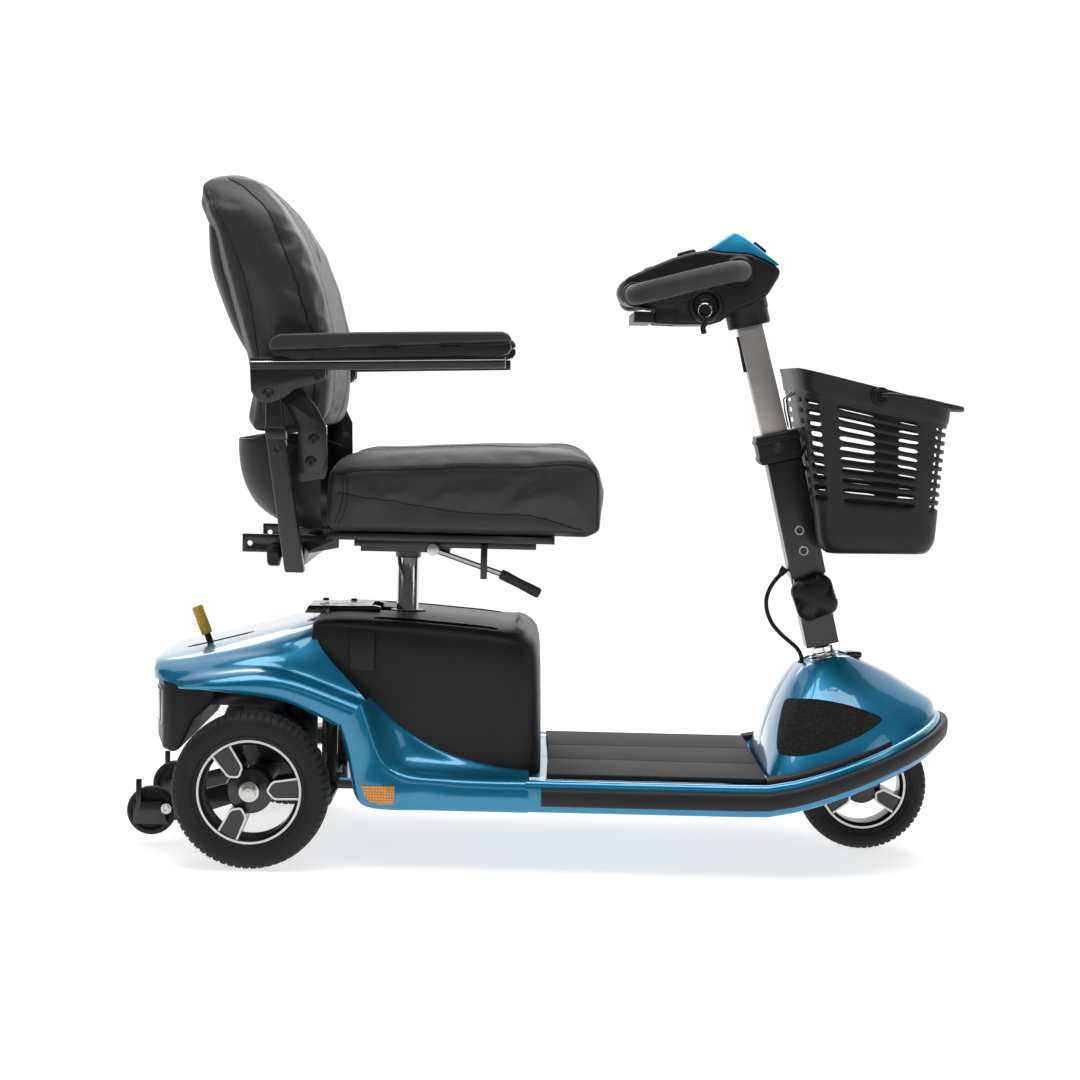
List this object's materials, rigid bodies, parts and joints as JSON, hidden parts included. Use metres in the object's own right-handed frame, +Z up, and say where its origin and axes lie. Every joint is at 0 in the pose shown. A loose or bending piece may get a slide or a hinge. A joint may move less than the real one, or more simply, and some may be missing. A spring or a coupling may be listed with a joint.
{
  "type": "mobility scooter",
  "caption": "Compact mobility scooter with a steered front wheel, tilting tiller with loop handles and basket, swivel seat with armrests, and a lift-off battery box.",
  "frame": {"origin": "centre of the footprint of the bounding box, on the ground", "axes": "+X forward, +Y to the rider's left, +Z up"},
  "size_m": [1.246, 0.562, 1.018],
  "materials": {
    "painted_blue": "metallic azure paint under a clear coat, on moulded body panels",
    "black_plastic": "satin moulded black",
    "textured_plastic": "fine-grained moulded black",
    "rubber": "matt black rubber",
    "tyre": "black tyre with block shoulders",
    "leather": "charcoal grained vinyl with stitched seams",
    "mesh_fabric": "grey ribbed seat centre cloth",
    "black_steel": "black powder coat",
    "chrome": "bright plated steel",
    "aluminium": "machined silver edges on black",
    "amber_lens": "amber honeycomb reflector",
    "yellow_plastic": "ribbed yellow grip"
  },
  "bodies": {
    "chassis": {"main_frame": "black_steel", "transaxle": "aluminium", "drive_motor": "black_steel", "anti_tip_bracket": "black_steel", "front_shroud": "painted_blue", "front_bumper": "rubber", "floor_mat": "rubber", "side_reflector_right": "amber_lens", "side_reflector_left": "amber_lens", "battery_box": "textured_plastic", "battery_pack": "black_plastic", "rear_cover": "painted_blue", "rear_panel": "textured_plastic", "latch_plate": "black_steel"},
    "rear_wheel_right": {"rear_tyre_right": "tyre", "rear_rim_right": "aluminium", "rear_axle_shaft_right": "chrome"},
    "rear_wheel_left": {"rear_tyre_left": "tyre", "rear_rim_left": "aluminium", "rear_axle_shaft_left": "chrome"},
    "anti_tip_right": {"anti_tip_wheel_right": "rubber"},
    "anti_tip_left": {"anti_tip_wheel_left": "rubber"},
    "charger_flap": {"charger_flap": "textured_plastic"},
    "freewheel_lever": {"freewheel_lever": "yellow_plastic"},
    "steering": {"front_fork": "black_steel", "stem_lock_nut": "chrome", "steering_knuckle": "black_steel"},
    "front_wheel": {"front_tyre": "tyre", "front_rim": "aluminium"},
    "tiller": {"lower_column": "black_steel", "upper_column": "chrome", "column_collar": "black_plastic", "console_housing": "black_plastic", "console_cover": "painted_blue", "handle_right": "rubber", "handle_left": "rubber", "basket": "black_plastic", "tiller_cable": "rubber"},
    "tiller_knob": {"tiller_knob": "black_plastic"},
    "throttle_lever": {"throttle_lever": "black_plastic"},
    "horn_button": {"horn_button": "black_plastic"},
    "speed_dial": {"speed_dial": "black_plastic"},
    "ignition_key": {"ignition_key": "black_plastic"},
    "basket_handle": {"basket_handle": "black_plastic"},
    "seat_post": {"seat_post": "chrome"},
    "swivel": {"swivel_plate": "black_steel"},
    "swivel_lever": {"swivel_lever": "black_steel"},
    "seat": {"seat_pan": "black_steel", "seat_cushion": "leather", "seat_shell": "textured_plastic"},
    "backrest": {"backrest_frame": "black_steel", "backrest_cushion": "leather"},
    "arm_post_right": {"armrest_post_right": "black_steel"},
    "arm_post_left": {"armrest_post_left": "black_steel"},
    "armrest_right": {"armrest_bracket_right": "black_steel", "armrest_pad_right": "black_plastic"},
    "armrest_left": {"armrest_bracket_left": "black_steel", "armrest_pad_left": "black_plastic"},
    "arm_knob_right": {"armrest_knob_right": "black_plastic"},
    "arm_knob_left": {"armrest_knob_left": "black_plastic"}
  },
  "joints": [
    {"name": "rear_wheel_right_spin", "type": "hinge", "parent": "chassis", "child": "rear_wheel_right", "pos_m": [-0.419, -0.248, 0.1145], "axis": [0, 1, 0], "continuous": true},
    {"name": "rear_wheel_left_spin", "type": "hinge", "parent": "chassis", "child": "rear_wheel_left", "pos_m": [-0.419, 0.248, 0.1145], "axis": [0, 1, 0], "continuous": true},
    {"name": "anti_tip_right_spin", "type": "hinge", "parent": "chassis", "child": "anti_tip_right", "pos_m": [-0.586, -0.113, 0.054], "axis": [0, 1, 0], "continuous": true},
    {"name": "anti_tip_left_spin", "type": "hinge", "parent": "chassis", "child": "anti_tip_left", "pos_m": [-0.586, 0.113, 0.054], "axis": [0, 1, 0], "continuous": true},
    {"name": "charger_flap_lift", "type": "hinge", "parent": "chassis", "child": "charger_flap", "pos_m": [-0.267, -0.178, 0.34], "axis": [-1, 0, 0], "range_deg": [0, 110]},
    {"name": "freewheel_shift", "type": "hinge", "parent": "chassis", "child": "freewheel_lever", "pos_m": [-0.487, -0.06, 0.25], "axis": [0, 1, 0], "range_deg": [0, 35]},
    {"name": "steering_turn", "type": "hinge", "parent": "chassis", "child": "steering", "pos_m": [0.414, 0, 0.394], "axis": [-0.2334, 0, 0.9724], "range_deg": [-40, 40]},
    {"name": "front_wheel_spin", "type": "hinge", "parent": "steering", "child": "front_wheel", "pos_m": [0.50104, 0, 0.1], "axis": [0, 1, 0], "continuous": true},
    {"name": "tiller_tilt", "type": "hinge", "parent": "steering", "child": "tiller", "pos_m": [0.414, 0, 0.394], "axis": [0, 1, 0], "range_deg": [-4, 12], "deforming": ["tiller_cable"]},
    {"name": "tiller_knob_turn", "type": "hinge", "parent": "tiller", "child": "tiller_knob", "pos_m": [0.414, 0, 0.394], "axis": [0, 1, 0], "continuous": true},
    {"name": "throttle_pull", "type": "hinge", "parent": "tiller", "child": "throttle_lever", "pos_m": [0.173, 0, 0.815], "axis": [0, 0, 1], "range_deg": [-12, 12], "stiffness_Nm_per_rad": 1.5},
    {"name": "horn_press", "type": "slide", "parent": "tiller", "child": "horn_button", "axis": [0.42, 0, -0.9075], "range_m": [0, 0.002], "stiffness_N_per_m": 400},
    {"name": "speed_dial_turn", "type": "hinge", "parent": "tiller", "child": "speed_dial", "pos_m": [0.207, 0, 0.9112], "axis": [-0.268, 0, 0.9634], "range_deg": [-135, 135]},
    {"name": "key_turn", "type": "hinge", "parent": "tiller", "child": "ignition_key", "pos_m": [0.233, -0.08, 0.834], "axis": [0, 1, 0], "range_deg": [0, 90]},
    {"name": "basket_handle_lift", "type": "hinge", "parent": "tiller", "child": "basket_handle", "pos_m": [0.487, 0, 0.712], "axis": [0, -1, 0], "range_deg": [0, 100]},
    {"name": "seat_height", "type": "slide", "parent": "chassis", "child": "seat_post", "axis": [0, 0, 1], "range_m": [0, 0.075]},
    {"name": "seat_swivel", "type": "hinge", "parent": "seat_post", "child": "swivel", "pos_m": [-0.212, 0, 0.456], "axis": [0, 0, 1], "range_deg": [-90, 90]},
    {"name": "swivel_lever_pull", "type": "hinge", "parent": "swivel", "child": "swivel_lever", "pos_m": [-0.169, -0.1, 0.458], "axis": [0, -1, 0], "range_deg": [0, 10], "stiffness_Nm_per_rad": 2, "springref_deg": -17.19},
    {"name": "seat_fore_aft", "type": "slide", "parent": "swivel", "child": "seat", "axis": [1, 0, 0], "range_m": [-0.03, 0.06]},
    {"name": "backrest_fold", "type": "hinge", "parent": "seat", "child": "backrest", "pos_m": [-0.343, 0, 0.59], "axis": [0, 1, 0], "range_deg": [0, 60]},
    {"name": "arm_width_right", "type": "slide", "parent": "seat", "child": "arm_post_right", "axis": [0, -1, 0], "range_m": [0, 0.05]},
    {"name": "arm_width_left", "type": "slide", "parent": "seat", "child": "arm_post_left", "axis": [0, 1, 0], "range_m": [0, 0.05]},
    {"name": "arm_lift_right", "type": "hinge", "parent": "arm_post_right", "child": "armrest_right", "pos_m": [-0.395, -0.25, 0.687], "axis": [0, -1, 0], "range_deg": [0, 90]},
    {"name": "arm_lift_left", "type": "hinge", "parent": "arm_post_left", "child": "armrest_left", "pos_m": [-0.395, 0.25, 0.687], "axis": [0, -1, 0], "range_deg": [0, 90]},
    {"name": "arm_knob_right_turn", "type": "hinge", "parent": "seat", "child": "arm_knob_right", "pos_m": [-0.401, -0.16, 0.45], "axis": [1, 0, 0], "continuous": true},
    {"name": "arm_knob_left_turn", "type": "hinge", "parent": "seat", "child": "arm_knob_left", "pos_m": [-0.401, 0.16, 0.45], "axis": [1, 0, 0], "continuous": true}
  ]
}
